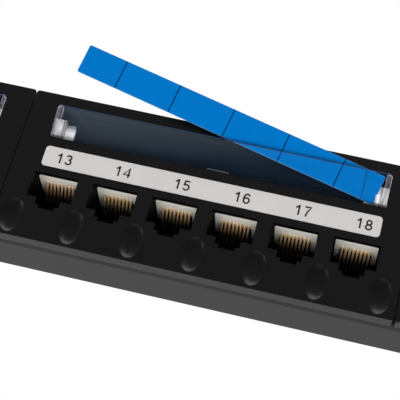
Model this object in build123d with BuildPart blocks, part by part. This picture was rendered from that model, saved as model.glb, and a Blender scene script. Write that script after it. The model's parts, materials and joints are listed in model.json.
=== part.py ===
"""Rack-mount patch panel, one unit high, with four six-port front modules.

Frame: X along the panel, Y into the rack, Z up. The origin is the centre of the pattern of rack slots,
on the rear face of the mounting ears. The front faces -Y. Sizes are in millimetres.
"""

from build123d import *
from math import cos, pi, radians, sin
import os

# Steel panel
panel_width = 482.6
panel_height = 43.6
sheet = 1.5
ear_width = 21.3
flange_depth = 16.1
bend_radius = 2.0
ear_corner = 1.5
slot_inset = 8.75
slot_pitch_z = 31.75
slot_length = 10.3
slot_width = 6.8

# Row of modules and ports
module_count = 4
ports_per_module = 6
module_pitch = 106.7
port_pitch = 16.2
module_gap = 0.2

# Bezel moulding
bezel_depth = 4.6
bezel_corner = 0.6
bezel_edge = 0.4
front_lip = 0.95

# Window for the label cover
window_width = 91.9
window_bottom = 8.6
window_border = 3.5
window_depth = 3.3
window_corner = 0.8

# Hinged clear cover
cover_gap = 0.2
cover_plate = 1.0
cover_pin_rise = 1.15
cover_corner = 0.7
cover_cheek = 1.4
cover_cheek_depth = 1.6
cover_shelf_drop = 0.4
hinge_pin_radius = 0.6
hinge_pin_sides = 8
hinge_pin_length = 1.0
hinge_pin_clearance = 0.08
cover_angles = (0, 0, 16, 0)
nib_length = 6.0
nib_height = 1.2
nib_thickness = 0.4

# Label strip that stands in the opened cover
label_length = 87.8
label_width = 8.2
label_thickness = 0.4
label_slope = 12.6
label_gap = 0.3
label_shift = 0.3

# Number strips
number_strip_width = 91.2
number_strip_bottom = -0.18
number_strip_top = 5.8
number_strip_corner = 0.6
number_strip_thickness = 0.5
number_recess_depth = 0.4
number_strip_clearance = 0.1

# Jack openings in the bezel: a main part and two steps for the plug's latch
port_width = 12.2
port_top = -2.4
port_floor = -9.68
step_width = 6.6
step_floor = -11.6
latch_width = 4.4
latch_floor = -12.65

# Jack frame behind the bezel
jack_clearance = 0.1
nose_wall = 0.75
nose_ceiling = 0.85
cavity_width = 11.9
cavity_depth = 13.4
frame_back_wall = 1.2
frame_gap = 1.9
frame_flange_gap = 0.9
frame_top = 5.6
cutout_margin = 0.5

# Contact inserts and spring contacts
insert_width = 11.3
insert_bottom = -1.6
insert_top = -0.95
insert_setback = 3.5
contacts_per_port = 8
contact_pitch = 1.02
contact_width = 0.45
contact_start = 5.8
contact_seat = 1.0
contact_reach = 6.0
contact_drop = 3.4
contact_thickness = 0.35

# Oval dishes along the bezel's lower edge
dish_width = 6.3
dish_height = 9.8
dish_depth = 1.0
dish_floor_share = 0.42
dish_sides = 12
dish_rise = 5.8

# Circuit boards
board_thickness = 1.6
board_inset = 0.6
board_flange_gap = 1.0

# Punch-down blocks
pair_pitch = 7.4
port_block_gap = 2.2
idc_height = 9.0
idc_level = 10.5
idc_depth = 12.0
idc_slot_width = 5.0
idc_slot_depth = 7.0
idc_end_wall = 1.3
ports_per_row = 3

# Sizes and heights worked out from the sizes above
flange_width = panel_width - 2 * ear_width
slot_pitch_x = panel_width - 2 * slot_inset
window_top = panel_height / 2 - window_border
cover_pin_height = window_bottom + cover_pin_rise
cover_reach = window_top - cover_gap - cover_pin_height
nose_width = cavity_width + 2 * nose_wall
nose_top = insert_top + nose_ceiling
nose_bottom = latch_floor - nose_wall
frame_width = module_pitch - frame_gap
frame_bottom = frame_flange_gap + sheet - panel_height / 2
dish_level = dish_rise - panel_height / 2
board_width = frame_width - 2 * board_inset
board_height = panel_height - 2 * (sheet + board_flange_gap)

# Places along Y, worked out in the same way
bezel_front = -(sheet + bezel_depth)
nose_front = bezel_front + front_lip
cavity_back = nose_front + cavity_depth
frame_back = cavity_back + frame_back_wall
board_back = frame_back + board_thickness

module_centres = [(n - (module_count - 1) / 2) * module_pitch for n in range(module_count)]
port_centres = [(n - (ports_per_module - 1) / 2) * port_pitch for n in range(ports_per_module)]
cover_pin_y = bezel_front + cover_plate
window_level = (window_bottom + window_top) / 2
cover_width = window_width - 2 * cover_gap

os.makedirs("parts", exist_ok=True)


def front_plane(x, y):
    """Plane seen from the front: its X is the panel's X, its Y is up, and it looks towards -Y."""
    return Plane(origin=(x, y, 0), x_dir=(1, 0, 0), z_dir=(0, -1, 0))


def side_plane(x):
    """Plane seen from the end: its X is the panel's Y and its Y is up."""
    return Plane(origin=(x, 0, 0), x_dir=(0, 1, 0), z_dir=(1, 0, 0))


def cover_front_plane(x, angle, depth):
    """Front plane of a cover turned about its pins by an angle, a depth behind the pins' axis."""
    tilt = radians(angle)
    place = (x, cover_pin_y + depth * cos(tilt), cover_pin_height + depth * sin(tilt))
    return Plane(origin=place, x_dir=(1, 0, 0), z_dir=(0, -cos(tilt), -sin(tilt)))


def cover_side_plane(x, angle):
    """Side plane of a cover: its X is the depth behind the pins' axis, its Y runs up the cover."""
    tilt = radians(angle)
    place = (x, cover_pin_y, cover_pin_height)
    return Plane(origin=place, x_dir=(0, cos(tilt), sin(tilt)), z_dir=(1, 0, 0))


def save(builder, label):
    """Label a finished piece and write it as one STEP file."""
    builder.part.label = label
    export_step(builder.part, f"parts/{label}.step")


def stepped_opening(top, levels):
    """Outline of a jack opening that narrows in steps to its floor, in the current sketch."""
    for width, bottom in levels:
        with Locations((0, (top + bottom) / 2)):
            Rectangle(width, top - bottom)


# Steel panel: a folded channel, widened by the ears, with slots for the rack and cut-outs for the jacks
with BuildPart() as steel_panel:
    with BuildSketch(side_plane(-flange_width / 2)):
        with BuildLine():
            outer = FilletPolyline(
                (flange_depth - sheet, panel_height / 2),
                (-sheet, panel_height / 2),
                (-sheet, -panel_height / 2),
                (flange_depth - sheet, -panel_height / 2),
                radius=bend_radius,
            )
            inner = FilletPolyline(
                (flange_depth - sheet, panel_height / 2 - sheet),
                (0, panel_height / 2 - sheet),
                (0, sheet - panel_height / 2),
                (flange_depth - sheet, sheet - panel_height / 2),
                radius=bend_radius - sheet,
            )
            Line(outer @ 0, inner @ 0)
            Line(outer @ 1, inner @ 1)
        make_face()
    extrude(amount=flange_width)
    with BuildSketch(front_plane(0, 0)):
        with GridLocations(panel_width - ear_width, 0, 2, 1):
            chamfer(Rectangle(ear_width, panel_height).vertices(), ear_corner)
        with GridLocations(panel_width - 2 * ear_width + ear_corner, 0, 2, 1):
            Rectangle(3 * ear_corner, panel_height - 2 * bend_radius)
    extrude(amount=sheet)
    with BuildSketch(front_plane(0, 0)):
        with GridLocations(slot_pitch_x, slot_pitch_z, 2, 2):
            SlotOverall(slot_length, slot_width)
    extrude(amount=sheet, mode=Mode.SUBTRACT)
    cutout_width = (ports_per_module - 1) * port_pitch + nose_width + 2 * cutout_margin
    cutout_height = nose_top - nose_bottom + 2 * cutout_margin
    with BuildSketch(front_plane(0, 0)):
        with Locations((0, (nose_top + nose_bottom) / 2)):
            with GridLocations(module_pitch, 0, module_count, 1):
                Rectangle(cutout_width, cutout_height)
    extrude(amount=sheet, mode=Mode.SUBTRACT)
save(steel_panel, "steel_panel")


# Shape of one oval dish: many-sided, with a smaller oval of the same shape as its floor
dish_turns = [2 * pi * n / dish_sides for n in range(dish_sides)]
dish_rim = [Vector(dish_width / 2 * cos(t), 0, dish_height / 2 * sin(t)) for t in dish_turns]
dish_floor = [Vector(point.X * dish_floor_share, dish_depth, point.Z * dish_floor_share) for point in dish_rim]
dish_faces = [Face(Wire.make_polygon(dish_rim)), Face(Wire.make_polygon(dish_floor))]
for n in range(dish_sides):
    corners = [dish_rim[n - 1], dish_rim[n], dish_floor[n], dish_floor[n - 1]]
    dish_faces.append(Face(Wire.make_polygon(corners)))
dish = Solid(Shell(dish_faces))


def make_bezel(x):
    """Black front moulding of one module."""
    with BuildPart() as bezel:
        with BuildSketch(front_plane(x, -sheet)):
            outline = Rectangle(module_pitch - module_gap, panel_height)
            chamfer(outline.vertices(), bezel_corner)
        extrude(amount=bezel_depth)
        chamfer(bezel.faces().sort_by(Axis.Y)[0].edges(), bezel_edge)
        with BuildSketch(front_plane(x, bezel_front)) as window:
            with Locations((0, window_level)):
                Rectangle(window_width, window_top - window_bottom)
            chamfer(window.vertices().group_by(Axis.Y)[-1], window_corner)
        extrude(amount=-window_depth, mode=Mode.SUBTRACT)
        with BuildSketch(Plane(origin=(x, cover_pin_y, cover_pin_height), x_dir=(0, 1, 0), z_dir=(1, 0, 0))):
            RegularPolygon(hinge_pin_radius + hinge_pin_clearance, hinge_pin_sides, major_radius=False)
        pin_span = cover_width / 2 + hinge_pin_length + hinge_pin_clearance
        extrude(amount=pin_span, both=True, mode=Mode.SUBTRACT)
        with BuildSketch(front_plane(x, bezel_front)):
            with Locations((0, (number_strip_bottom + number_strip_top) / 2)):
                recess = Rectangle(
                    number_strip_width + 2 * number_strip_clearance,
                    number_strip_top - number_strip_bottom + 2 * number_strip_clearance,
                )
                chamfer(recess.vertices(), number_strip_corner)
        extrude(amount=-number_recess_depth, mode=Mode.SUBTRACT)
        with BuildSketch(front_plane(x, bezel_front)) as openings:
            with BuildSketch(mode=Mode.PRIVATE) as opening:
                levels = [(port_width, port_floor), (step_width, step_floor), (latch_width, latch_floor)]
                stepped_opening(port_top, levels)
            with Locations(*[(centre, 0) for centre in port_centres]):
                add(opening.sketch)
        extrude(amount=-front_lip, mode=Mode.SUBTRACT)
        with BuildSketch(front_plane(x, -sheet)):
            with Locations((0, (nose_top + nose_bottom) / 2)):
                with GridLocations(port_pitch, 0, ports_per_module, 1):
                    Rectangle(nose_width + 2 * jack_clearance, nose_top - nose_bottom + 2 * jack_clearance)
        extrude(amount=bezel_depth - front_lip, mode=Mode.SUBTRACT)
        with Locations(Location((x, bezel_front, dish_level))):
            with GridLocations(port_pitch, 0, ports_per_module + 1, 1):
                add(dish, mode=Mode.SUBTRACT)
    return bezel


def make_cover(x, angle):
    """Clear label cover: front plate, label shelf, end cheeks, hinge pins and a nib."""
    side = cover_side_plane(x, angle)
    half = cover_width / 2
    shelf_reach = (cover_plate**2 - cover_shelf_drop**2) ** 0.5
    with BuildPart() as cover:
        with BuildSketch(cover_front_plane(x, angle, 0)) as plate:
            with Locations((0, cover_reach / 2)):
                Rectangle(cover_width, cover_reach)
            chamfer(plate.vertices().group_by(Axis.Y)[-1], cover_corner)
        extrude(amount=cover_plate)
        with BuildSketch(side):
            with BuildLine():
                Polyline(
                    (shelf_reach, -cover_shelf_drop), (0, -cover_shelf_drop), (0, 0), (-cover_plate, 0)
                )
                ThreePointArc((-cover_plate, 0), (0, -cover_plate), (shelf_reach, -cover_shelf_drop))
            make_face()
        extrude(amount=half, both=True)
        with BuildSketch(side.offset(half), side.offset(-half + cover_cheek)):
            with BuildLine():
                Polyline(
                    (0, 0),
                    (cover_plate, 0),
                    (cover_cheek_depth, cover_plate),
                    (cover_cheek_depth, cover_reach - cover_cheek_depth - cover_gap),
                    (0, cover_reach - cover_gap),
                    close=True,
                )
            make_face()
        extrude(amount=-cover_cheek)
        with BuildSketch(side.offset(half + hinge_pin_length), side.offset(-half)):
            RegularPolygon(hinge_pin_radius, hinge_pin_sides)
        extrude(amount=-hinge_pin_length)
        with BuildSketch(side.offset(-nib_length / 2)):
            with Locations((shelf_reach, -cover_shelf_drop)):
                Rectangle(nib_thickness, nib_height, align=(Align.MAX, Align.MIN))
        extrude(amount=nib_length)
    return cover


def make_label(x, angle):
    """Label strip: stands on its corner on the cover's shelf and leans along the cover."""
    slope = radians(label_slope)
    half_rise = label_length / 2 * sin(slope) + label_width / 2 * cos(slope)
    with BuildPart() as label:
        with BuildSketch(cover_front_plane(x, angle, label_gap)):
            with Locations(Location((label_shift, half_rise - cover_shelf_drop), -label_slope)):
                Rectangle(label_length, label_width)
        extrude(amount=-label_thickness)
    return label


def make_number_strip(x):
    """Pale strip that carries the port numbers."""
    with BuildPart() as strip:
        with BuildSketch(front_plane(x, bezel_front + number_recess_depth)):
            with Locations((0, (number_strip_bottom + number_strip_top) / 2)):
                outline = Rectangle(number_strip_width, number_strip_top - number_strip_bottom)
                chamfer(outline.vertices(), number_strip_corner)
        extrude(amount=number_strip_thickness)
    return strip


def make_jack_frame(x):
    """Six-way jack housing: a block behind the sheet with six noses that reach into the bezel."""
    with BuildPart() as frame:
        with BuildSketch(front_plane(x, frame_back)):
            with Locations((0, (frame_top + frame_bottom) / 2)):
                Rectangle(frame_width, frame_top - frame_bottom)
        extrude(amount=frame_back)
        with BuildSketch(front_plane(x, 0)):
            with Locations((0, (nose_top + nose_bottom) / 2)):
                with GridLocations(port_pitch, 0, ports_per_module, 1):
                    Rectangle(nose_width, nose_top - nose_bottom)
        extrude(amount=-nose_front)
        with BuildSketch(front_plane(x, nose_front)):
            with BuildSketch(mode=Mode.PRIVATE) as cavity:
                levels = [(cavity_width, port_floor), (step_width, latch_floor)]
                stepped_opening(insert_top, levels)
            with Locations(*[(centre, 0) for centre in port_centres]):
                add(cavity.sketch)
        extrude(amount=-cavity_depth, mode=Mode.SUBTRACT)
    return frame


def make_insert(x):
    """Ivory contact insert in a jack's ceiling, set back from the opening."""
    front = nose_front + insert_setback
    with BuildPart() as insert:
        with BuildSketch(side_plane(x - insert_width / 2)):
            with BuildLine():
                Polyline(
                    (front, insert_bottom),
                    (cavity_back, insert_bottom),
                    (cavity_back, insert_top),
                    (front, insert_top),
                    close=True,
                )
            make_face()
        extrude(amount=insert_width)
    return insert


def make_contacts(x):
    """Spring contacts of one module: each leaves its insert and slants down and back."""
    start = nose_front + contact_start
    tip = start + contact_reach
    with BuildPart() as contacts:
        row_start = -(contacts_per_port - 1) / 2 * contact_pitch - contact_width / 2
        first_planes = [side_plane(x + centre + row_start) for centre in port_centres]
        with BuildSketch(
            *[plane.offset(n * contact_pitch) for plane in first_planes for n in range(contacts_per_port)]
        ):
            with BuildLine():
                Polyline(
                    (start, insert_bottom),
                    (start + contact_seat, insert_bottom),
                    (tip, insert_bottom - contact_drop),
                    (tip - contact_thickness, insert_bottom - contact_drop - contact_thickness),
                    close=True,
                )
            make_face()
        extrude(amount=contact_width)
    return contacts


def make_board(x):
    """Circuit board of one module, flat on the back of the jack frame."""
    with BuildPart() as board:
        with BuildSketch(front_plane(x, board_back)):
            Rectangle(board_width, board_height)
        extrude(amount=board_thickness)
    return board


def make_idc_block(x, level):
    """One row of punch-down teeth: a slot for each of the four wire pairs of three ports."""
    pairs = contacts_per_port // 2
    port_span = pairs * pair_pitch + port_block_gap
    row_length = (ports_per_row - 1) * port_span + pairs * pair_pitch + 2 * idc_end_wall
    with BuildPart() as block:
        with BuildSketch(Plane(origin=(x, board_back, level), x_dir=(1, 0, 0), z_dir=(0, 0, 1))):
            with Locations((0, idc_depth / 2)):
                Rectangle(row_length, idc_depth)
            with Locations((0, idc_depth - idc_slot_depth / 2)):
                with GridLocations(port_span, 0, ports_per_row, 1):
                    with GridLocations(pair_pitch, 0, pairs, 1):
                        Rectangle(idc_slot_width, idc_slot_depth, mode=Mode.SUBTRACT)
        extrude(amount=idc_height / 2, both=True)
    return block


for number, (centre, angle) in enumerate(zip(module_centres, cover_angles), start=1):
    save(make_bezel(centre), f"bezel_{number}")
    save(make_cover(centre, angle), f"label_cover_{number}")
    save(make_number_strip(centre), f"number_strip_{number}")
    save(make_jack_frame(centre), f"jack_frame_{number}")
    save(make_contacts(centre), f"jack_contacts_{number}")
    save(make_board(centre), f"circuit_board_{number}")
    save(make_idc_block(centre, idc_level), f"idc_block_{number}_upper")
    save(make_idc_block(centre, -idc_level), f"idc_block_{number}_lower")
    for place, port_centre in enumerate(port_centres):
        port_number = (number - 1) * ports_per_module + place + 1
        save(make_insert(centre + port_centre), f"contact_insert_{port_number:02d}")
    if angle > 0:
        save(make_label(centre, angle), "label_strip")
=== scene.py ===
"""Looks of the rack-mount patch panel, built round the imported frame.

Shapes are drawn in millimetres and turned into metres once their mesh is finished. The frame's X runs along the
panel, Y into the rack and Z up. Pieces of one module are drawn about its centre line and placed at each module.
"""

import json
import math

import bmesh
import bpy
from mathutils import Matrix, Vector


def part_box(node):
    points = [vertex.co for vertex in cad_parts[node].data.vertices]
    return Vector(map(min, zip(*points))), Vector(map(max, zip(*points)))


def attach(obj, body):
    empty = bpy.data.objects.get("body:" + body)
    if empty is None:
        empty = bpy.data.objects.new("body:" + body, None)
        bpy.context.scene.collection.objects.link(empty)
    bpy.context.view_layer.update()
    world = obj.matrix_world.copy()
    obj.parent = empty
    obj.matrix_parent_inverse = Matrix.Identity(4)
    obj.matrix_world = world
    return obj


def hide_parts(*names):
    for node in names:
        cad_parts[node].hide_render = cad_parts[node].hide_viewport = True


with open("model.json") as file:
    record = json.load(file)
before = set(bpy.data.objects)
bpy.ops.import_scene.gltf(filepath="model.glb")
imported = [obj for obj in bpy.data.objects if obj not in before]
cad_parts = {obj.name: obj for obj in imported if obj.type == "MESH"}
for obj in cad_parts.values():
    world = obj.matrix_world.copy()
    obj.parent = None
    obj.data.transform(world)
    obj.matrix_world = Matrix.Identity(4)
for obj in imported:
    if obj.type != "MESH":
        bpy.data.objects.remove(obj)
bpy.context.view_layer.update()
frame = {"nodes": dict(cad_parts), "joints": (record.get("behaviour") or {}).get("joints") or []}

MM = 0.001
MODULES = (1, 2, 3, 4)
PORTS = 6
PORT_PITCH = 16.2

# Faces up to this many mm2 are shaded smooth, unless they lie square to an axis
SMALL_FACE, SQUARE = 1.0, 0.9995
BEVEL_ANGLE, SHARP_ANGLE = math.radians(50), math.radians(38)
# How far a cutting solid reaches past the face that it cuts
PAST = 1


def box_mm(node):
    """Lowest and highest corner of a CAD node, in millimetres."""
    low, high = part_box(node)
    return low / MM, high / MM


bezel_low, bezel_high = box_mm("bezel_1")
strip_low, strip_high = box_mm("number_strip_1")
insert_low, insert_high = box_mm("contact_insert_01")
block_low, block_high = box_mm("idc_block_1_upper")
wires_low, wires_high = box_mm("jack_contacts_1")
board_back = box_mm("circuit_board_1")[1].y
module_x = {k: sum(corner.x for corner in box_mm(f"bezel_{k}")) / 2 for k in MODULES}
hinge = next(joint["pos_m"] for joint in frame["joints"] if joint["child"] == "cover_1")
hinge_y, hinge_z = hinge[1] / MM, hinge[2] / MM

FRONT = bezel_low.y
BACK = bezel_high.y
HALF_WIDTH = (bezel_high.x - bezel_low.x) / 2
HALF_HEIGHT = (bezel_high.z - bezel_low.z) / 2

# Bezel: window, stepped jack openings, pockets behind them, dishes, and the notch along its rear edges
WINDOW_HALF = 45.95
WINDOW_BOTTOM, WINDOW_TOP = 8.6, 18.3
WINDOW_DEPTH = 3.3
PORT_TOP, PORT_FLOOR = -2.4, -9.68
PORT_HALF = 6.1
STEP_HALF, STEP_FLOOR = 3.3, -11.6
LATCH_HALF, LATCH_FLOOR = 2.2, -12.65
LIP = 0.95
NOSE_HALF, NOSE_TOP, NOSE_BOTTOM = 6.8, 0.0, -13.5
DISH_HALF, DISH_RISE, DISH_LEVEL, DISH_DEPTH = 3.15, 4.9, -16.0, 0.95
DISH_RINGS = (1.0, 0.97, 0.93, 0.88, 0.82, 0.74, 0.64, 0.5, 0.3, 0.08)
DISH_POWER = 3.2
SHADOW_GAP = 0.35
STRIP_PLAY = 0.1

# Jack: contacts, the grooves that they leave their insert by, and where the insert opens behind
CONTACTS, CONTACT_PITCH = 8, 1.02
WIRE_HALF, WIRE_THICKNESS = 0.3, 0.15
GROOVE_HALF, GROOVE_DEPTH = 0.34, 0.45
INSERT_OPEN = 2.5

# Port numbers: height, place in the strip, share of the height that widens a figure, gap and half stroke
NUMBER_HEIGHT, NUMBER_SHIFT, NUMBER_LEVEL = 2.95, 0.6, 2.7
NUMBER_STRETCH, NUMBER_GAP, NUMBER_STROKE = 1.25, 0.13, 0.078
INK_PROUD, INK_SUNK = 0.02, 0.01

# Cover, measured from its pins' axis: Y is the depth behind it, Z runs up the cover
COVER_HALF = 45.75
COVER_PLATE = 1.0
COVER_REACH = 8.35
SHELF_DROP = 0.4
CHEEK, CHEEK_DEPTH = 1.4, 1.6
PIN_RADIUS, PIN_LENGTH, PIN_HEIGHT = 0.6, 1.0, 9.75
PIN_PLAY, POCKET_REACH = 0.08, 0.9
RIB_X, RIB_HALF = 38.9, 0.12
LOW_LUG, TALL_LUG_START, LUG_SPLIT = (39.7, 42.9), 42.4, 42.3
LUG_FRONT, LUG_BACK, LUG_TOP = 0.78, 1.5, 4.8
NIB_LOW, NIB_HIGH, NIB_HEIGHT = -2.5, 3.5, 0.35
OPEN_COVER, OPEN_ANGLE = 3, math.radians(16)

# Label strip in the open cover
LABEL_LENGTH, LABEL_WIDTH, LABEL_THICKNESS = 87.8, 8.2, 0.4
LABEL_SLOPE = math.radians(12.6)
LABEL_GAP, LABEL_SHIFT = 0.3, 0.3
LABEL_CORNER = 0.5
LINE_HALF = 0.15

# Punch-down row: wire pairs, their dividers and the two legs of each clip
ROW_PORTS, ROW_PAIRS, ROW_PITCH, PAIR_PITCH = 3, 4, 31.8, 7.4
SLOT_DEPTH = 7.0
DIVIDER_HALF, DIVIDER_TOP, DIVIDER_END = 0.45, 0.8, 0.6
CLIP_X, LEG_NEAR, LEG_FAR, LEG_HEIGHT, LEG_HALF = 1.47, 0.12, 0.8, 4.4, 1.6
ROOT_SUNK = 0.1

# Fixing screws, from their module's centre
SCREW_X, SCREW_Z = 49.85, -8.5
CROSS_LONG, CROSS_SHORT, CROSS_FLOOR = 0.9, 0.2, 0.55


def shader_of(material):
    """The Principled shader of a material."""
    return material.node_tree.nodes["Principled BSDF"]


def principled(name, colour, roughness, **sockets):
    """A material with one Principled shader; extra values go to the sockets that they name."""
    material = bpy.data.materials.new(name)
    material.use_nodes = True
    shader = shader_of(material)
    shader.inputs["Base Color"].default_value = (*colour, 1)
    shader.inputs["Roughness"].default_value = roughness
    for socket, value in sockets.items():
        shader.inputs[socket.replace("_", " ")].default_value = value
    return material


def node(material, kind, **values):
    """A new node in a material, with attributes or inputs set by name."""
    made = material.node_tree.nodes.new(kind)
    for key, value in values.items():
        if hasattr(made, key):
            setattr(made, key, value)
        else:
            made.inputs[key.replace("_", " ")].default_value = value
    return made


def link(material, source, target):
    """Joins two sockets of a material."""
    material.node_tree.links.new(source, target)


def remapped(material, value, old, new):
    """A socket with a value taken from one range to another, and kept within it."""
    remap = node(material, "ShaderNodeMapRange")
    for socket, limit in zip(("From Min", "From Max", "To Min", "To Max"), (*old, *new)):
        remap.inputs[socket].default_value = limit
    link(material, value, remap.inputs["Value"])
    return remap.outputs["Result"]


def weighted(material, along):
    """A socket with a weighted sum of the object's X, Y and Z in mm."""
    coordinates = node(material, "ShaderNodeTexCoord")
    weigh = node(material, "ShaderNodeVectorMath", operation="DOT_PRODUCT")
    weigh.inputs[1].default_value = [part / MM for part in along]
    link(material, coordinates.outputs["Object"], weigh.inputs[0])
    return weigh.outputs["Value"]


def toned(material, value, colour, shares, positions):
    """A socket with a colour that goes from one share of its strength to another between two values."""
    tone = node(material, "ShaderNodeValToRGB")
    for element, share, position in zip(tone.color_ramp.elements, shares, positions):
        element.position = position
        element.color = (*[min(1, c * share) for c in colour], 1)
    link(material, value, tone.inputs["Fac"])
    return tone.outputs["Color"]


def mix_in(material, share, other):
    """Mixes another colour into the one that reaches a material's shader, by a socket from 0 to 1."""
    base = shader_of(material).inputs["Base Color"]
    mix = node(material, "ShaderNodeMix", data_type="RGBA")
    colours = [socket for socket in mix.inputs if socket.type == "RGBA"]
    mixed = next(socket for socket in mix.outputs if socket.type == "RGBA")
    link(material, share, mix.inputs[0])
    link(material, base.links[0].from_socket, colours[0])
    colours[1].default_value = (*other, 1)
    link(material, mixed, base)


def textured(name, colour, spread, roughness, rough_spread, grain, bump, **sockets):
    """Plastic or paint with a fine grain: mottled colour, varied gloss and a bump of the grain's size in mm."""
    material = principled(name, colour, roughness, **sockets)
    shader = shader_of(material)
    coordinates = node(material, "ShaderNodeTexCoord")
    broad = node(material, "ShaderNodeTexNoise", Scale=0.09 / MM, Detail=5.0, Roughness=0.6)
    fine = node(material, "ShaderNodeTexNoise", Scale=1 / (grain * MM), Detail=3.0, Roughness=0.55)
    for noise in (broad, fine):
        link(material, coordinates.outputs["Object"], noise.inputs["Vector"])
    tone = toned(material, broad.outputs["Fac"], colour, (1 - spread, 1 + spread), (0.3, 0.72))
    link(material, tone, shader.inputs["Base Color"])
    limits = (max(0.02, roughness - rough_spread), min(1, roughness + rough_spread))
    link(material, remapped(material, fine.outputs["Fac"], (0.3, 0.7), limits), shader.inputs["Roughness"])
    relief = node(material, "ShaderNodeBump", Strength=bump, Distance=0.04 * MM)
    link(material, fine.outputs["Fac"], relief.inputs["Height"])
    link(material, relief.outputs["Normal"], shader.inputs["Normal"])
    return material


def paint_shade_below(material, top, bottom, least):
    """Paints shade: lets a material's colour fade from its full value at one height, in mm, to a share of it at a
    lower one.
    """
    base = shader_of(material).inputs["Base Color"]
    dimmed = node(material, "ShaderNodeVectorMath", operation="SCALE")
    link(material, base.links[0].from_socket, dimmed.inputs[0])
    share = remapped(material, weighted(material, (0, 0, 1)), (bottom, top), (least, 1))
    link(material, share, dimmed.inputs["Scale"])
    link(material, dimmed.outputs["Vector"], base)


def run_to(material, other, along, offset):
    """Lets a material's colour run to another one as a weighted sum of X, Y and Z in mm, with an offset added, goes
    from 0 to 1."""
    share = node(material, "ShaderNodeMath", operation="ADD", use_clamp=True)
    share.inputs[1].default_value = offset
    link(material, weighted(material, along), share.inputs[0])
    mix_in(material, share.outputs["Value"], other)


def streaked(material, shares):
    """Lets a material's colour run in upright streaks, from one share of its strength to another."""
    base = shader_of(material).inputs["Base Color"]
    colour = list(base.default_value)[:3]
    coordinates = node(material, "ShaderNodeTexCoord")
    stretch = node(material, "ShaderNodeMapping")
    stretch.inputs["Scale"].default_value = (1, 1, 0.1)
    link(material, coordinates.outputs["Object"], stretch.inputs["Vector"])
    noise = node(material, "ShaderNodeTexNoise", Scale=1.1 / MM, Detail=2.0)
    link(material, stretch.outputs["Vector"], noise.inputs["Vector"])
    link(material, toned(material, noise.outputs["Fac"], colour, shares, (0.35, 0.65)), base)


def label_material():
    """Blue card with thin dark lines between its divisions, from the strip's own coordinates."""
    material = textured("label_blue", (0.0, 0.16, 0.5), 0.03, 0.6, 0.05, 0.12, 0.08, Specular_IOR_Level=0.02)
    turn = node(material, "ShaderNodeMath", operation="PINGPONG")
    turn.inputs[1].default_value = PORT_PITCH / 2
    link(material, weighted(material, (1, 0, 0)), turn.inputs[0])
    near = node(material, "ShaderNodeMath", operation="LESS_THAN")
    near.inputs[1].default_value = LINE_HALF
    link(material, turn.outputs["Value"], near.inputs[0])
    mix_in(material, near.outputs["Value"], (0.001, 0.012, 0.06))
    return material


def clear_material(name, colour, roughness, alpha, along, offset, **sockets):
    """Clear or frosted plastic. Its alpha runs from one value to another as a weighted sum of X, Y and Z in mm,
    with an offset added, goes from 0 to 1."""
    material = principled(name, colour, roughness, **sockets)
    shader = shader_of(material)
    coordinates = node(material, "ShaderNodeTexCoord")
    cloud = node(material, "ShaderNodeTexNoise", Scale=0.3 / MM, Detail=4.0)
    link(material, coordinates.outputs["Object"], cloud.inputs["Vector"])
    gloss = remapped(material, cloud.outputs["Fac"], (0, 1), (roughness * 0.7, roughness * 1.3))
    link(material, gloss, shader.inputs["Roughness"])
    amount = remapped(material, weighted(material, along), (-offset, 1 - offset), alpha)
    uneven = node(material, "ShaderNodeMath", operation="MULTIPLY_ADD")
    uneven.inputs[1].default_value = 0.6
    uneven.inputs[2].default_value = 0.7
    link(material, cloud.outputs["Fac"], uneven.inputs[0])
    product = node(material, "ShaderNodeMath", operation="MULTIPLY", use_clamp=True)
    link(material, amount, product.inputs[0])
    link(material, uneven.outputs["Value"], product.inputs[1])
    link(material, product.outputs["Value"], shader.inputs["Alpha"])
    return material


steel_paint = textured("powder_coat", (0.016, 0.016, 0.0165), 0.12, 0.5, 0.08, 0.22, 0.35, Specular_IOR_Level=0.25)
bezel_plastic = textured("bezel_plastic", (0.0012, 0.0012, 0.0015), 0.25, 0.34, 0.08, 0.16, 0.25,
                         Specular_IOR_Level=0.09)
# Painted sheen: a lighter, glossier copy of the bezel plastic, which the bezel's bevelled edges and underside get
# so that they catch more light
sheen_plastic = textured("bezel_edge_plastic", (0.003, 0.003, 0.0033), 0.25, 0.3, 0.06, 0.16, 0.2,
                        Specular_IOR_Level=0.2)
window_plastic = textured("window_back_plastic", (0.006, 0.0145, 0.0265), 0.15, 0.45, 0.04, 0.6, 0.05,
                          Specular_IOR_Level=0.04)
jack_plastic = textured("jack_plastic", (0.002, 0.002, 0.0022), 0.2, 0.6, 0.08, 0.2, 0.25, Specular_IOR_Level=0.04)
strip_plastic = textured("number_strip_plastic", (0.53, 0.507, 0.494), 0.02, 0.5, 0.05, 0.15, 0.12,
                         Specular_IOR_Level=0.2)
ink = textured("number_ink", (0.014, 0.013, 0.013), 0.2, 0.5, 0.05, 0.2, 0.05, Specular_IOR_Level=0.1)
ivory = textured("insert_ivory", (0.86, 0.81, 0.73), 0.05, 0.4, 0.06, 0.25, 0.1)
gold = textured("contact_gold", (1.0, 0.64, 0.33), 0.08, 0.4, 0.06, 0.15, 0.05, Metallic=0.45)
tin = textured("clip_tin", (0.62, 0.6, 0.56), 0.08, 0.3, 0.06, 0.15, 0.05, Metallic=1.0)
screw_steel = textured("screw_steel", (0.5, 0.5, 0.5), 0.1, 0.32, 0.06, 0.2, 0.05, Metallic=1.0)
board_mask = textured("board_mask", (0.012, 0.075, 0.035), 0.15, 0.3, 0.06, 0.5, 0.1)
block_plastic = textured("block_plastic", (0.006, 0.006, 0.0065), 0.2, 0.4, 0.08, 0.2, 0.2, Specular_IOR_Level=0.2)
divider_plastic = textured("divider_plastic", (0.55, 0.54, 0.5), 0.05, 0.4, 0.06, 0.3, 0.1)
card_edge = textured("card_edge", (0.16, 0.3, 0.46), 0.05, 0.6, 0.05, 0.1, 0.1, Specular_IOR_Level=0.1)
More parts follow.
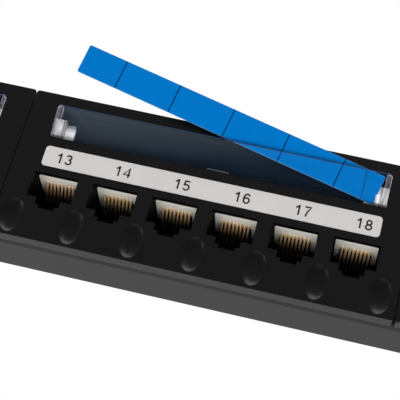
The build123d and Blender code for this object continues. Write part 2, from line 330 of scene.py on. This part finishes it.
nib_plastic = textured("nib_plastic", (0.24, 0.25, 0.28), 0.1, 0.5, 0.05, 0.3, 0.05, Specular_IOR_Level=0.1)
# Painted shade: the gold contacts darken towards their tips deep in the jack, where the jack's shade falls on them
paint_shade_below(gold, -2.2, -4.0, 0.1)
# Painted sheen: the window's back wall and ceiling run lighter towards the upper left, standing in for the haze
# seen through the clear cover
run_to(window_plastic, (0.043, 0.055, 0.072), (-0.012, 0, 0.075), -0.93)
label_blue = label_material()
# The clear plate's faint milky veil is its own; its thickening towards the upper left is a painted sheen
clear_plate = clear_material("clear_plate", (0.42, 0.5, 0.6), 0.1, (0.002, 0.017), (-0.012, 0, 0.075), -0.2)
clear_cheek = clear_material("clear_cheek", (0.5, 0.48, 0.56), 0.15, (0.06, 0.13), (0, 0, 0.1), 0)
# Painted highlight: pale, nearly opaque faces on the cover's edges stand in for the light caught in the clear
# plastic's edges
clear_rim = clear_material("clear_rim", (0.9, 0.88, 0.95), 0.2, (0.8, 0.95), (0, 0, 0.1), 0)
clear_line = clear_material("clear_line", (0.035, 0.07, 0.135), 0.4, (0.2, 0.9), (0, 0, 0.12), 0,
                            Specular_IOR_Level=0.0)
# The lugs are frosted plastic; painted light makes them opaque and pale at the foot, clearing upwards, and gives
# the low lugs their own paler copy
frosted = clear_material("frosted_lug", (0.5, 0.5, 0.5), 0.45, (1.0, 0.3), (0, 0, 0.25), -0.45)
streaked(frosted, (0.4, 1.7))
frosted_low = clear_material("frosted_low_lug", (0.78, 0.78, 0.79), 0.45, (1.0, 0.12), (0, 0, 0.6), -0.85)


def piece(name, mesh_or_bmesh, *materials):
    """A new object from a mesh or a bmesh, in the scene, with its materials."""
    mesh = mesh_or_bmesh
    if isinstance(mesh_or_bmesh, bmesh.types.BMesh):
        bmesh.ops.recalc_face_normals(mesh_or_bmesh, faces=mesh_or_bmesh.faces)
        mesh = bpy.data.meshes.new(name)
        mesh_or_bmesh.to_mesh(mesh)
        mesh_or_bmesh.free()
        for material in materials:
            mesh.materials.append(material)
    made = bpy.data.objects.new(name, mesh)
    bpy.context.scene.collection.objects.link(made)
    return made


def finished(made, bevel=None, segments=2, rim_slot=-1):
    """The object's mesh in metres, with its edges bevelled and its shading set; the object itself goes."""
    if bevel:
        rounding = made.modifiers.new("bevel", "BEVEL")
        rounding.width = bevel
        rounding.segments = segments
        rounding.limit_method = "ANGLE"
        rounding.angle_limit = BEVEL_ANGLE
        rounding.material = rim_slot
    graph = bpy.context.evaluated_depsgraph_get()
    mesh = bpy.data.meshes.new_from_object(
        made.evaluated_get(graph), preserve_all_data_layers=True, depsgraph=graph
    )
    mesh.name = made.name
    mesh.set_sharp_from_angle(angle=SHARP_ANGLE)
    for polygon in mesh.polygons:
        square = max(abs(part) for part in polygon.normal) > SQUARE
        polygon.use_smooth = polygon.area < SMALL_FACE and not square
    mesh.transform(Matrix.Scale(MM, 4))
    bpy.data.objects.remove(made)
    return mesh


def place(name, mesh, body, where, turn=0.0, replaces=()):
    """Puts a mesh at a point given in millimetres, turned about X by an angle, to ride on a body."""
    made = bpy.data.objects.new(name, mesh)
    bpy.context.scene.collection.objects.link(made)
    made.matrix_world = Matrix.Translation(Vector(where) * MM) @ Matrix.Rotation(turn, 4, "X")
    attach(made, body)
    if replaces:
        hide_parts(*replaces)
    return made


def skin(shape, rings):
    """Closes a row of rings of vertices into a solid."""
    shape.faces.new(rings[0])
    shape.faces.new(rings[-1][::-1])
    for a, b in zip(rings, rings[1:]):
        for n in range(len(a)):
            shape.faces.new((a[n - 1], b[n - 1], b[n], a[n]))


def prism(shape, outline, y_front, y_back):
    """Adds the solid of an outline in X and Z, from one depth to another."""
    skin(shape, [[shape.verts.new((x, y, z)) for x, z in outline] for y in (y_front, y_back)])


def side_prism(shape, outline, x_low, x_high):
    """Adds the solid of an outline in Y and Z, from one end to another."""
    skin(shape, [[shape.verts.new((x, y, z)) for y, z in outline] for x in (x_low, x_high)])


def block(shape, low, high):
    """Adds a box between two corners."""
    corners = [(low[0], low[2]), (high[0], low[2]), (high[0], high[2]), (low[0], high[2])]
    prism(shape, corners, low[1], high[1])


def rounded(x_low, x_high, z_low, z_high, radii, steps=8):
    """Outline of a rectangle with its own radius at each corner, from the lower left one round."""
    outline = []
    signs = ((-1, -1), (1, -1), (1, 1), (-1, 1))
    for n, ((sx, sz), radius) in enumerate(zip(signs, radii)):
        corner_x = x_high if sx > 0 else x_low
        corner_z = z_high if sz > 0 else z_low
        start = math.pi + n * math.pi / 2
        for step in range(steps + 1):
            angle = start + step / steps * math.pi / 2
            outline.append((
                corner_x - sx * radius + radius * math.cos(angle),
                corner_z - sz * radius + radius * math.sin(angle),
            ))
    return outline


def cut(target, name, shape):
    """Takes the solids of a bmesh out of an object."""
    tool = piece(name, shape)
    step = target.modifiers.new(name, "BOOLEAN")
    step.operation = "DIFFERENCE"
    step.solver = "EXACT"
    step.object = tool
    graph = bpy.context.evaluated_depsgraph_get()
    mesh = bpy.data.meshes.new_from_object(target.evaluated_get(graph))
    target.modifiers.clear()
    target.data = mesh
    bpy.data.objects.remove(tool)


def port_centres():
    """X of each jack from its module's centre."""
    return [(n - (PORTS - 1) / 2) * PORT_PITCH for n in range(PORTS)]


def pin_solid(shape, side, play=0.0, reach=0.0, at=(0, 0, 0)):
    """Adds the round solid of a cover's end pin, or of its pocket, about an axis point of the cover's middle."""
    centre = Vector(at) + Vector((side * (COVER_HALF + PIN_LENGTH / 2), 0, 0))
    bmesh.ops.create_cone(
        shape, cap_ends=True, segments=24, radius1=PIN_RADIUS + play, radius2=PIN_RADIUS + play,
        depth=PIN_LENGTH + reach, matrix=Matrix.Translation(centre) @ Matrix.Rotation(math.pi / 2, 4, "Y"),
    )


def dish_solid(shape, x, sides=64):
    """Adds the solid that leaves an oval dish, steepest at its rim and nearly flat in the middle."""
    turns = [2 * math.pi * n / sides for n in range(sides)]
    profile = [(1.03, -0.3)] + [(share, DISH_DEPTH * (1 - share ** DISH_POWER)) for share in DISH_RINGS]
    rings = []
    for share, depth in profile:
        half, rise = DISH_HALF * share, DISH_RISE * share
        rings.append([
            shape.verts.new((x + half * math.cos(turn), FRONT + depth, DISH_LEVEL + rise * math.sin(turn)))
            for turn in turns
        ])
    skin(shape, rings)


def bezel_mesh():
    """Front moulding: rounded block with window, strip recess, stepped jack openings and oval dishes."""
    window_slot, sheen_slot = 1, 2
    shape = bmesh.new()
    prism(shape, rounded(-HALF_WIDTH, HALF_WIDTH, -HALF_HEIGHT, HALF_HEIGHT, (0.8,) * 4), FRONT, BACK)
    body = piece("bezel_body", shape, bezel_plastic, window_plastic, sheen_plastic)

    shape = bmesh.new()
    window = rounded(-WINDOW_HALF, WINDOW_HALF, WINDOW_BOTTOM, WINDOW_TOP, (0.25, 0.25, 1.3, 1.3))
    prism(shape, window, FRONT - PAST, FRONT + WINDOW_DEPTH)
    recess_half = (strip_high.x - strip_low.x) / 2 + STRIP_PLAY
    recess = rounded(-recess_half, recess_half, strip_low.z - STRIP_PLAY, strip_high.z + STRIP_PLAY, (1.1,) * 4)
    prism(shape, recess, FRONT - PAST, strip_high.y)
    lip_back = FRONT + LIP
    corners = [
        (PORT_HALF, PORT_TOP), (PORT_HALF, PORT_FLOOR), (STEP_HALF, PORT_FLOOR),
        (STEP_HALF, STEP_FLOOR), (LATCH_HALF, STEP_FLOOR), (LATCH_HALF, LATCH_FLOOR),
    ]
    for x in port_centres():
        outline = [(x - half, z) for half, z in corners] + [(x + half, z) for half, z in corners[::-1]]
        prism(shape, outline, FRONT - PAST, lip_back + 0.5)
    for side in (-1, 1):
        low, high = sorted((side * (HALF_HEIGHT - SHADOW_GAP), side * (HALF_HEIGHT + PAST)))
        block(shape, (-HALF_WIDTH - PAST, BACK - 2 * SHADOW_GAP, low), (HALF_WIDTH + PAST, BACK + PAST, high))
    cut(body, "front_cuts", shape)

    shape = bmesh.new()
    for x in port_centres():
        block(shape, (x - NOSE_HALF, lip_back, NOSE_BOTTOM), (x + NOSE_HALF, BACK + PAST, NOSE_TOP))
    for side in (-1, 1):
        pin_solid(shape, side, PIN_PLAY, POCKET_REACH, (0, FRONT + COVER_PLATE, PIN_HEIGHT))
    cut(body, "pockets", shape)

    shape = bmesh.new()
    for n in range(PORTS + 1):
        dish_solid(shape, (n - PORTS / 2) * PORT_PITCH)
    cut(body, "dishes", shape)
    for polygon in body.data.polygons:
        back = polygon.normal.y < -0.9 and abs(polygon.center.y - FRONT - WINDOW_DEPTH) < 0.05
        ceiling = polygon.normal.z < -0.9 and abs(polygon.center.z - WINDOW_TOP) < 0.05
        if back or ceiling:
            polygon.material_index = window_slot
        # The bezel's underside gets the lighter, glossier copy: painted sheen
        elif polygon.normal.z < -0.9 and polygon.center.z < 0.05 - HALF_HEIGHT:
            polygon.material_index = sheen_slot
    return finished(body, bevel=0.25, rim_slot=sheen_slot)


def strip_mesh():
    """Pale number strip with rounded corners."""
    half = (strip_high.x - strip_low.x) / 2
    shape = bmesh.new()
    outline = rounded(-half, half, strip_low.z, strip_high.z, (1.0,) * 4)
    prism(shape, outline, strip_low.y, strip_high.y)
    return finished(piece("number_strip_body", shape, strip_plastic), bevel=0.08)


def arc(x, y, rx, ry, start, end, steps=14):
    """Points of an arc of an ellipse, with angles in degrees."""
    turns = [math.radians(start + (end - start) * n / steps) for n in range(steps + 1)]
    return [(x + rx * math.cos(t), y + ry * math.sin(t)) for t in turns]


# Strokes of plain figures, one unit high: lines and arcs along the middle of each stroke
FIGURE_WIDTH = 0.56
FIGURES = {
    "0": [arc(0.28, 0.5, 0.2, 0.445, 90, 450, 28)],
    "1": [[(0.36, 0.0), (0.36, 1.0)], [(0.12, 0.735), (0.26, 0.8), (0.345, 0.965)]],
    "2": [arc(0.28, 0.715, 0.2, 0.23, 170, -35) + [(0.075, 0.055), (0.5, 0.055)]],
    "3": [arc(0.27, 0.735, 0.175, 0.21, 165, -90), arc(0.27, 0.29, 0.205, 0.235, 90, -165)],
    "4": [[(0.4, 0.0), (0.4, 0.97), (0.05, 0.285), (0.53, 0.285)]],
    "5": [[(0.47, 0.945), (0.15, 0.945), (0.1, 0.5)] + arc(0.27, 0.325, 0.2, 0.27, 130, -155)],
    "6": [arc(0.28, 0.31, 0.2, 0.26, 90, 450, 24), arc(0.3, 0.48, 0.225, 0.465, 185, 40)],
    "7": [[(0.05, 0.945), (0.5, 0.945), (0.34, 0.62), (0.24, 0.3), (0.2, 0.0)]],
    "8": [arc(0.28, 0.73, 0.165, 0.215, 90, 450, 24), arc(0.28, 0.275, 0.2, 0.225, 90, 450, 24)],
    "9": [arc(0.28, 0.69, 0.2, 0.26, 90, 450, 24), arc(0.26, 0.52, 0.225, 0.465, 5, -140)],
}


def stroke(shape, points, half, y_front, y_back):
    """Adds a flat ribbon of ink along a line of points in X and Z."""
    rings = []
    last = len(points) - 1
    for n, (x, z) in enumerate(points):
        before, after = points[max(n - 1, 0)], points[min(n + 1, last)]
        along = Vector((after[0] - before[0], after[1] - before[1])).normalized()
        widen = half
        if 0 < n < last:
            leg = Vector((x - before[0], z - before[1])).normalized()
            widen = half / max(0.5, along.dot(leg))
        across = Vector((-along.y, along.x)) * widen
        corners = [(x + across.x, z + across.y), (x - across.x, z - across.y)]
        rings.append([shape.verts.new((cx, y, cz)) for cx, cz in corners for y in (y_front, y_back)])
    for a, b in zip(rings, rings[1:]):
        for i, j in ((0, 1), (1, 3), (3, 2), (2, 0)):
            shape.faces.new((a[i], a[j], b[j], b[i]))
    for ring in (rings[0], rings[-1]):
        shape.faces.new((ring[0], ring[1], ring[3], ring[2]))


def numbers_mesh(first):
    """Port numbers of one module, raised by the thickness of the ink."""
    wide = NUMBER_STRETCH * NUMBER_HEIGHT
    gap = NUMBER_GAP * wide
    shape = bmesh.new()
    for n, centre in enumerate(port_centres()):
        text = str(first + n)
        width = len(text) * FIGURE_WIDTH * wide + (len(text) - 1) * gap
        left = centre + NUMBER_SHIFT - width / 2
        for figure in text:
            for points in FIGURES[figure]:
                line = [(left + x * wide, NUMBER_LEVEL + (y - 0.5) * NUMBER_HEIGHT) for x, y in points]
                stroke(shape, line, NUMBER_STROKE * NUMBER_HEIGHT, strip_low.y - INK_PROUD, strip_low.y + INK_SUNK)
            left += FIGURE_WIDTH * wide + gap
    return finished(piece("numbers_body", shape, ink))


def contact_offsets():
    """X of each contact from its jack's centre."""
    return [(n - (CONTACTS - 1) / 2) * CONTACT_PITCH for n in range(CONTACTS)]


def insert_mesh():
    """Ivory insert in a jack's ceiling: grooved where its contacts leave it, and open between two lands behind."""
    half = (insert_high.x - insert_low.x) / 2
    floor, back = insert_low.z, insert_high.y
    shape = bmesh.new()
    block(shape, (-half, insert_low.y, floor), (half, back, insert_high.z))
    body = piece("insert_body", shape, ivory)
    shape = bmesh.new()
    for x in contact_offsets():
        low = (x - GROOVE_HALF, wires_low.y - 0.1, floor - PAST)
        block(shape, low, (x + GROOVE_HALF, INSERT_OPEN + 0.1, floor + GROOVE_DEPTH))
    cut(body, "grooves", shape)
    shape = bmesh.new()
    open_half = (CONTACTS / 2 + 0.1) * CONTACT_PITCH
    block(shape, (-open_half, INSERT_OPEN, floor - PAST), (open_half, back + PAST, insert_high.z + PAST))
    cut(body, "opening", shape)
    return finished(body, bevel=0.05)


def contacts_mesh():
    """Gold spring wires of one module: each bends out of its groove and slants down and back to its tip."""
    start, tip = wires_low.y, wires_high.y - 0.2
    top, bottom = insert_low.z, wires_low.z + 0.2
    path = [(start + 0.05, top + 0.34), (start + 0.15, top + 0.12), (start + 0.45, top - 0.1)]
    path += [(start + 0.45 + (tip - start - 0.45) * t, top - 0.1 + (bottom - top + 0.1) * t)
             for t in (0.25, 0.5, 0.75, 1.0)]
    near, far = WIRE_HALF, WIRE_HALF * 0.6
    section = [(-near, 1), (-near, -0.3), (-far, -1), (far, -1), (near, -0.3), (near, 1)]
    shape = bmesh.new()
    for x in [centre + offset for centre in port_centres() for offset in contact_offsets()]:
        rings = []
        for n, (y, z) in enumerate(path):
            before, after = path[max(n - 1, 0)], path[min(n + 1, len(path) - 1)]
            along = Vector((after[0] - before[0], after[1] - before[1])).normalized()
            out = Vector((-along.y, along.x)) * WIRE_THICKNESS
            rings.append([shape.verts.new((x + sx, y + out.x * s, z + out.y * s)) for sx, s in section])
        skin(shape, rings)
    return finished(piece("contacts_body", shape, gold))


def cover_mesh():
    """Clear cover about its pins' axis: plate, rolled lower edge with a shelf, end cheeks, pins, ribs, frosted lugs
    and a nib."""
    cheek_slot, rim_slot, lug_slot, line_slot, low_lug_slot, nib_slot = range(1, 7)
    shape = bmesh.new()
    plate = rounded(-COVER_HALF, COVER_HALF, -0.15, COVER_REACH, (0.1, 0.1, 1.2, 1.2))
    prism(shape, plate, -COVER_PLATE, 0)
    shelf = [(0.9, -SHELF_DROP), (0.05, -SHELF_DROP), (0.05, -0.1), (-COVER_PLATE + 0.02, -0.1)]
    shelf += [(COVER_PLATE * math.cos(t), COVER_PLATE * math.sin(t))
              for t in [math.radians(188 + 14 * n) for n in range(11)]]
    side_prism(shape, shelf, -COVER_HALF, COVER_HALF)
    cheek = [(0, 0), (COVER_PLATE, 0), (CHEEK_DEPTH, 1), (CHEEK_DEPTH, COVER_REACH - CHEEK_DEPTH - 0.2),
             (0, COVER_REACH - 0.2)]
    for side in (-1, 1):
        side_prism(shape, cheek, *sorted((side * COVER_HALF, side * (COVER_HALF - CHEEK))))
        pin_solid(shape, side)
    for side in (-1, 1):
        rib = side * RIB_X
        block(shape, (rib - RIB_HALF, 0.02, 0.3), (rib + RIB_HALF, 0.3, COVER_REACH - 0.5))
    clear_faces = set(shape.faces)

    foot = [(LUG_FRONT, -SHELF_DROP), (LUG_BACK, -0.1)]
    low_lug = foot + [(LUG_BACK, 2.2), (LUG_FRONT, 3.6)]
    tall_lug = foot + [(LUG_BACK, 3.9), (0.4, 4.7), (0.2, 0.2)]
    for side in (-1, 1):
        side_prism(shape, low_lug, *sorted(side * x for x in LOW_LUG))
        side_prism(shape, tall_lug, *sorted((side * TALL_LUG_START, side * (COVER_HALF - 0.05))))
    block(shape, (NIB_LOW, 0.05, -SHELF_DROP), (NIB_HIGH, 0.3, -SHELF_DROP + NIB_HEIGHT))
    for face in shape.faces:
        middle = face.calc_center_median()
        beside = abs(middle.x)
        if face not in clear_faces:
            face.material_index = lug_slot if beside > LUG_SPLIT else low_lug_slot if beside > 30 else nib_slot
        elif beside > COVER_HALF - CHEEK - 0.1 and (middle.y > 0.01 or face.calc_area() < 20):
            face.material_index = cheek_slot
        elif middle.z > COVER_REACH - 0.01:
            face.material_index = line_slot
    materials = (clear_plate, clear_cheek, clear_rim, frosted, clear_line, frosted_low, nib_plastic)
    mesh = finished(piece("cover_body", shape, *materials), bevel=0.15, rim_slot=rim_slot)
    for polygon in mesh.polygons:
        if polygon.material_index == rim_slot:
            x, y, z = (abs(part) / MM for part in polygon.center)
            if y > 0.5 and z < LUG_TOP and 39 < x < COVER_HALF - 0.2:
                polygon.material_index = lug_slot
            elif x < COVER_HALF - CHEEK - 0.3:
                polygon.material_index = line_slot
    return mesh


def label_mesh():
    """Blue label strip about its own middle, printed on both faces, with pale cut edges."""
    shape = bmesh.new()
    half, rise = LABEL_LENGTH / 2, LABEL_WIDTH / 2
    prism(shape, rounded(-half, half, -rise, rise, (LABEL_CORNER,) * 4, 4), 0, LABEL_THICKNESS)
    bmesh.ops.recalc_face_normals(shape, faces=shape.faces)
    for face in shape.faces:
        face.material_index = 0 if abs(face.normal.y) > 0.9 else 1
    return finished(piece("label_body", shape, label_blue, card_edge), bevel=0.04, segments=1)


def clips_mesh():
    """Divider and two metal clips in each slot of a punch-down row."""
    root = block_high.y - SLOT_DEPTH - ROOT_SUNK
    end = (block_high.z - block_low.z) / 2 - DIVIDER_END
    slots = [(port - (ROW_PORTS - 1) / 2) * ROW_PITCH + (pair - (ROW_PAIRS - 1) / 2) * PAIR_PITCH
             for port in range(ROW_PORTS) for pair in range(ROW_PAIRS)]
    shape = bmesh.new()
    for x in slots:
        block(shape, (x - DIVIDER_HALF, root, -end), (x + DIVIDER_HALF, block_high.y - DIVIDER_TOP, end))
    dividers = set(shape.faces)
    for x in [slot + side * CLIP_X for slot in slots for side in (-1, 1)]:
        for leg in (-1, 1):
            low, high = sorted((x + leg * LEG_NEAR, x + leg * LEG_FAR))
            block(shape, (low, root, -LEG_HALF), (high, root + ROOT_SUNK + LEG_HEIGHT, LEG_HALF))
    for face in shape.faces:
        face.material_index = 0 if face in dividers else 1
    return finished(piece("clips_body", shape, divider_plastic, tin), bevel=0.08)


def screw_mesh():
    """Pan head of a fixing screw with a cross recess, its top towards +Y."""
    shape = bmesh.new()
    profile = [(0, 0.0), (1.6, 0.0), (1.6, 0.5), (1.35, 0.9), (0.9, 1.15), (0, 1.2)]
    ring = [shape.verts.new((r, y, 0)) for r, y in profile]
    edges = [shape.edges.new((a, b)) for a, b in zip(ring, ring[1:])]
    bmesh.ops.spin(shape, geom=ring + edges, axis=(0, 1, 0), cent=(0, 0, 0), steps=40, angle=2 * math.pi)
    bmesh.ops.remove_doubles(shape, verts=shape.verts, dist=0.0005)
    head = piece("screw_body", shape, screw_steel)
    for half_x, half_z in ((CROSS_LONG, CROSS_SHORT), (CROSS_SHORT, CROSS_LONG)):
        shape = bmesh.new()
        block(shape, (-half_x, CROSS_FLOOR, -half_z), (half_x, 1.5, half_z))
        cut(head, "cross", shape)
    return finished(head, bevel=0.05, segments=1)


# One mesh for each kind of piece, placed at every module
bezel = bezel_mesh()
number_strip = strip_mesh()
insert = insert_mesh()
contacts = contacts_mesh()
cover = cover_mesh()
clips = clips_mesh()
screw = screw_mesh()
port_number = 0
for k in MODULES:
    x = module_x[k]
    place(f"bezel_dressed_{k}", bezel, "panel", (x, 0, 0), replaces=[f"bezel_{k}"])
    place(f"number_strip_dressed_{k}", number_strip, "panel", (x, 0, 0),
          replaces=[f"number_strip_{k}"])
    place(f"port_numbers_{k}", numbers_mesh(port_number + 1), "panel", (x, 0, 0))
    place(f"contact_wires_{k}", contacts, "panel", (x, 0, 0), replaces=[f"jack_contacts_{k}"])
    for centre in port_centres():
        port_number += 1
        place(f"insert_dressed_{port_number:02d}", insert, "panel", (x + centre, 0, 0),
              replaces=[f"contact_insert_{port_number:02d}"])
    angle = OPEN_ANGLE if k == OPEN_COVER else 0.0
    place(f"cover_dressed_{k}", cover, f"cover_{k}", (x, hinge_y, hinge_z), angle,
          replaces=[f"label_cover_{k}"])
    for level, side in (("upper", 1), ("lower", -1)):
        place(f"idc_clips_{k}_{level}", clips, "panel", (x, 0, side * (block_low.z + block_high.z) / 2))
    for side, name in ((-1, "left"), (1, "right")):
        place(f"fixing_screw_{k}_{name}", screw, "panel",
              (x + side * SCREW_X, board_back, SCREW_Z))

# Label strip: it stands on its corner on the open cover's shelf
half_rise = LABEL_LENGTH / 2 * math.sin(LABEL_SLOPE) + LABEL_WIDTH / 2 * math.cos(LABEL_SLOPE)
tilt = Matrix.Rotation(OPEN_ANGLE, 4, "X")
label = bpy.data.objects.new("label_card", label_mesh())
bpy.context.scene.collection.objects.link(label)
label.matrix_world = (
    Matrix.Translation(Vector((module_x[OPEN_COVER], hinge_y, hinge_z)) * MM)
    @ tilt
    @ Matrix.Translation(Vector((LABEL_SHIFT, LABEL_GAP, half_rise - SHELF_DROP)) * MM)
    @ Matrix.Rotation(LABEL_SLOPE, 4, "Y")
)
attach(label, f"cover_{OPEN_COVER}")
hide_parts("label_strip")


def paint(name, material, bevel=0.0):
    """Gives a CAD node its material and, where asked, softened edges."""
    target = frame["nodes"][name]
    target.data.materials.clear()
    target.data.materials.append(material)
    if bevel:
        rounding = target.modifiers.new("soft_edges", "BEVEL")
        rounding.width = bevel * MM
        rounding.segments = 2
        rounding.limit_method = "ANGLE"
        rounding.angle_limit = math.radians(40)


paint("steel_panel", steel_paint)
for k in MODULES:
    paint(f"jack_frame_{k}", jack_plastic, 0.15)
    paint(f"circuit_board_{k}", board_mask, 0.1)
    paint(f"idc_block_{k}_upper", block_plastic, 0.2)
    paint(f"idc_block_{k}_lower", block_plastic, 0.2)


# Camera, fitted to the photograph: its axes in the frame and its place
CAMERA_AT = (93.70, -303.05, -143.10)
CAMERA_RIGHT = Vector((0.96933, 0.01997, 0.24493))
CAMERA_DOWN = Vector((0.21043, 0.44733, -0.86926))
CAMERA_FORWARD = Vector((-0.12692, 0.89415, 0.42941))
CAMERA_LENS = 114.34
camera_data = bpy.data.cameras.new("camera")
camera_data.lens = CAMERA_LENS
camera_data.sensor_width = 36
camera_data.clip_start = 0.01
camera = bpy.data.objects.new("camera", camera_data)
bpy.context.scene.collection.objects.link(camera)
axes = Matrix((CAMERA_RIGHT, -CAMERA_DOWN, -CAMERA_FORWARD)).transposed().to_4x4()
camera.matrix_world = Matrix.Translation(Vector(CAMERA_AT) * MM) @ axes
bpy.context.scene.camera = camera


def area_light(name, at, aim, width, height, power):
    """A soft rectangular lamp, in metres and watts."""
    data = bpy.data.lights.new(name, "AREA")
    data.shape = "RECTANGLE"
    data.size, data.size_y = width, height
    data.energy = power
    lamp = bpy.data.objects.new(name, data)
    bpy.context.scene.collection.objects.link(lamp)
    lamp.location = at
    lamp.rotation_mode = "QUATERNION"
    lamp.rotation_quaternion = (Vector(aim) - Vector(at)).to_track_quat("-Z", "Y")
    return lamp


def background_seen(tree):
    """A value that is 1 for what the camera, a gloss or a clear piece shows of the surroundings."""
    path = tree.nodes.new("ShaderNodeLightPath")
    seen = path.outputs["Is Camera Ray"]
    for kind in ("Is Glossy Ray", "Is Transmission Ray"):
        either = tree.nodes.new("ShaderNodeMath")
        either.operation = "MAXIMUM"
        tree.links.new(seen, either.inputs[0])
        tree.links.new(path.outputs[kind], either.inputs[1])
        seen = either.outputs["Value"]
    return seen


# Lamps, in metres and watts: name, place, what it aims at, width, height and power
LAMPS = (
    ("lamp_top", (-0.08, -0.2, 0.95), (0.05, 0, 0), 1.2, 0.5, 15.5),
    ("lamp_left", (-0.93, -0.44, -0.33), (0.05, 0, 0), 0.42, 0.42, 5.2),
    ("lamp_below", (0.06, -0.3, -0.375), (0.05, 0, -0.005), 0.5, 0.18, 2.15),
)
FLOOR_HALF, FLOOR_TOP, FLOOR_THICKNESS = 3, -0.4, 0.02


def stage_and_light():
    """Pale floor well below the panel, white surroundings, and soft lamps above, at the left and below."""
    floor_shape = bmesh.new()
    low = (-FLOOR_HALF, -FLOOR_HALF, FLOOR_TOP - FLOOR_THICKNESS)
    block(floor_shape, low, (FLOOR_HALF, FLOOR_HALF, FLOOR_TOP))
    floor_paint = principled("floor_paint", (0.8, 0.8, 0.8), 0.8, Specular_IOR_Level=0.0)
    tree = floor_paint.node_tree
    glow = tree.nodes.new("ShaderNodeEmission")
    blend = tree.nodes.new("ShaderNodeMath")
    blend.operation = "MULTIPLY"
    blend.inputs[1].default_value = 0.6
    tree.links.new(background_seen(tree), blend.inputs[0])
    mix = tree.nodes.new("ShaderNodeMixShader")
    tree.links.new(blend.outputs["Value"], mix.inputs["Fac"])
    tree.links.new(tree.nodes["Principled BSDF"].outputs["BSDF"], mix.inputs[1])
    tree.links.new(glow.outputs["Emission"], mix.inputs[2])
    tree.links.new(mix.outputs["Shader"], tree.nodes["Material Output"].inputs["Surface"])
    glow.inputs["Strength"].default_value = 1.0
    piece("floor", floor_shape, floor_paint)
    for lamp in LAMPS:
        area_light(*lamp)
    world = bpy.data.worlds.new("surroundings")
    bpy.context.scene.world = world
    world.use_nodes = True
    tree = world.node_tree
    tree.nodes.clear()
    output = tree.nodes.new("ShaderNodeOutputWorld")
    plain = tree.nodes.new("ShaderNodeBackground")
    plain.inputs["Color"].default_value = (0.85, 0.92, 1, 1)
    plain.inputs["Strength"].default_value = 0.27
    white = tree.nodes.new("ShaderNodeBackground")
    white.inputs["Color"].default_value = (1, 1, 1, 1)
    white.inputs["Strength"].default_value = 1.0
    mix = tree.nodes.new("ShaderNodeMixShader")
    tree.links.new(background_seen(tree), mix.inputs["Fac"])
    tree.links.new(plain.outputs["Background"], mix.inputs[1])
    tree.links.new(white.outputs["Background"], mix.inputs[2])
    tree.links.new(mix.outputs["Shader"], output.inputs["Surface"])


stage_and_light()
bpy.context.scene.view_settings.view_transform = "Standard"
